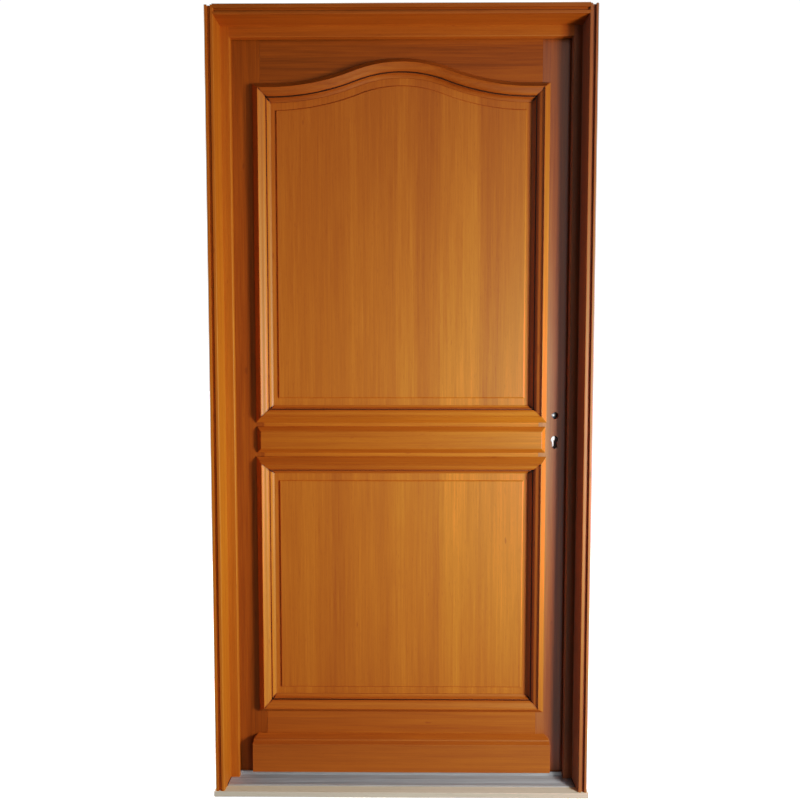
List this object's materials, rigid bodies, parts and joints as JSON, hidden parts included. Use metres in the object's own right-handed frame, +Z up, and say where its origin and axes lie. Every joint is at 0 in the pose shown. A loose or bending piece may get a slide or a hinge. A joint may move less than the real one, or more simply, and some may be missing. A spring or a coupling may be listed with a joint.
{
  "type": "wooden front door",
  "caption": "Stained wooden front door in its frame: arched upper panel, square lower panel, bold mouldings, batten, weatherboard, metal threshold, and a mortise lock with empty holes.",
  "frame": {"origin": "on the underside of the sill batten, midway between the jambs, level with the frame's front edge", "axes": "+X to the right seen from outside, +Y into the building, +Z up"},
  "size_m": [1.08, 0.138, 2.225],
  "materials": {
    "stained_wood": "satin stain",
    "raw_wood": "sawn, untreated",
    "aluminium": "mill finish",
    "seal_rubber": "matt",
    "zinc_steel": "zinc plated",
    "lock_steel": "satin"
  },
  "bodies": {
    "frame": {"hinge_jamb": "stained_wood", "lock_jamb": "stained_wood", "frame_head": "stained_wood", "threshold": "aluminium", "threshold_pads": "seal_rubber", "sill_batten": "raw_wood", "hinge_jamb_seal": "seal_rubber", "lock_jamb_seal": "seal_rubber", "frame_head_seal": "seal_rubber", "strike_plate": "lock_steel", "strike_screws": "zinc_steel", "hinge_frame_screws": "zinc_steel", "hinge_bottom_frame_half": "zinc_steel", "hinge_middle_frame_half": "zinc_steel", "hinge_top_frame_half": "zinc_steel"},
    "leaf": {"hinge_stile": "stained_wood", "lock_stile": "stained_wood", "top_rail": "stained_wood", "mid_rail": "stained_wood", "bottom_rail": "stained_wood", "upper_panel": "stained_wood", "lower_panel": "stained_wood", "mid_rail_batten": "stained_wood", "weatherboard": "stained_wood", "upper_moulding_arch": "stained_wood", "upper_moulding_left": "stained_wood", "upper_moulding_bottom": "stained_wood", "upper_moulding_right": "stained_wood", "lower_moulding_top": "stained_wood", "lower_moulding_left": "stained_wood", "lower_moulding_bottom": "stained_wood", "lower_moulding_right": "stained_wood", "leaf_foot_seal": "seal_rubber", "hinge_bottom_leaf_half": "zinc_steel", "hinge_middle_leaf_half": "zinc_steel", "hinge_top_leaf_half": "zinc_steel", "faceplate_screws": "zinc_steel", "hinge_leaf_screws": "zinc_steel", "lock_case": "lock_steel", "lock_cover": "lock_steel", "lock_faceplate": "lock_steel"},
    "follower": {"lock_follower": "lock_steel"},
    "latch": {"latch_bolt": "lock_steel"},
    "deadbolt": {"deadbolt": "lock_steel"}
  },
  "joints": [
    {"name": "leaf_swing", "type": "hinge", "parent": "frame", "child": "leaf", "pos_m": [-0.494, 0.128, 1.101], "axis": [0, 0, 1], "range_deg": [0, 110]},
    {"name": "follower_turn", "type": "hinge", "parent": "leaf", "child": "follower", "pos_m": [0.447, 0.095, 1.0995], "axis": [0, 1, 0], "range_deg": [0, 30]},
    {"name": "latch_throw", "type": "slide", "parent": "leaf", "child": "latch", "axis": [1, 0, 0], "range_m": [0, 0.012]},
    {"name": "deadbolt_throw", "type": "slide", "parent": "leaf", "child": "deadbolt", "axis": [1, 0, 0], "range_m": [0, 0.02]}
  ],
  "couplings": [
    {"joint": "follower_turn", "follows": "latch_throw", "rad_per_m": 43.6}
  ]
}
